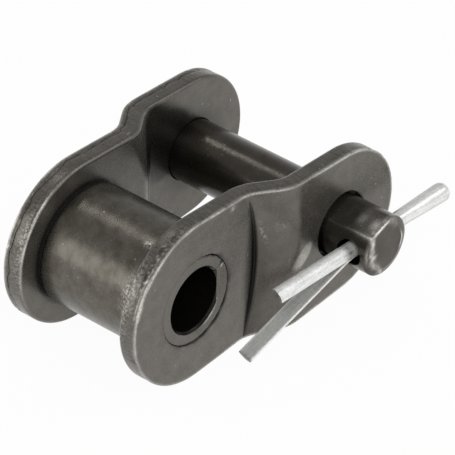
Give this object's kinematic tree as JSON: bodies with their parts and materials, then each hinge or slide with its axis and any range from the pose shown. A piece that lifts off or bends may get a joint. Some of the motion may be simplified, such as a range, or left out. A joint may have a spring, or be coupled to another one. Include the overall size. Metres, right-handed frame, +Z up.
{
  "type": "offset link",
  "caption": "Cranked offset link of a roller chain: offset side plates with a bush and free roller at the narrow end and a split-pinned connecting pin at the wide end.",
  "frame": {"origin": "on the axis of the bush's bore, at mid width of the link", "axes": "+X from the bush to the connecting pin, +Y to the rear plate (the split pin is at -Y), +Z up"},
  "size_m": [0.027, 0.0191, 0.0118],
  "materials": {
    "plate_steel": "blanked and hardened spring steel, tumbled, dark oiled grey",
    "bush_steel": "curled case-hardened steel, dark grey",
    "roller_steel": "case-hardened steel, warm mottled grey",
    "pin_steel": "case-hardened steel, dark brown grey",
    "zinc_wire": "bright zinc-plated half-round wire"
  },
  "bodies": {
    "link": {"front_plate": "plate_steel", "rear_plate": "plate_steel", "bush": "bush_steel", "connecting_pin": "pin_steel", "cotter_pin": "zinc_wire"},
    "roller": {"roller": "roller_steel"}
  },
  "joints": [
    {"name": "roller_spin", "type": "hinge", "parent": "link", "child": "roller", "pos_m": [0, 0, 0], "axis": [0, 1, 0], "continuous": true}
  ]
}
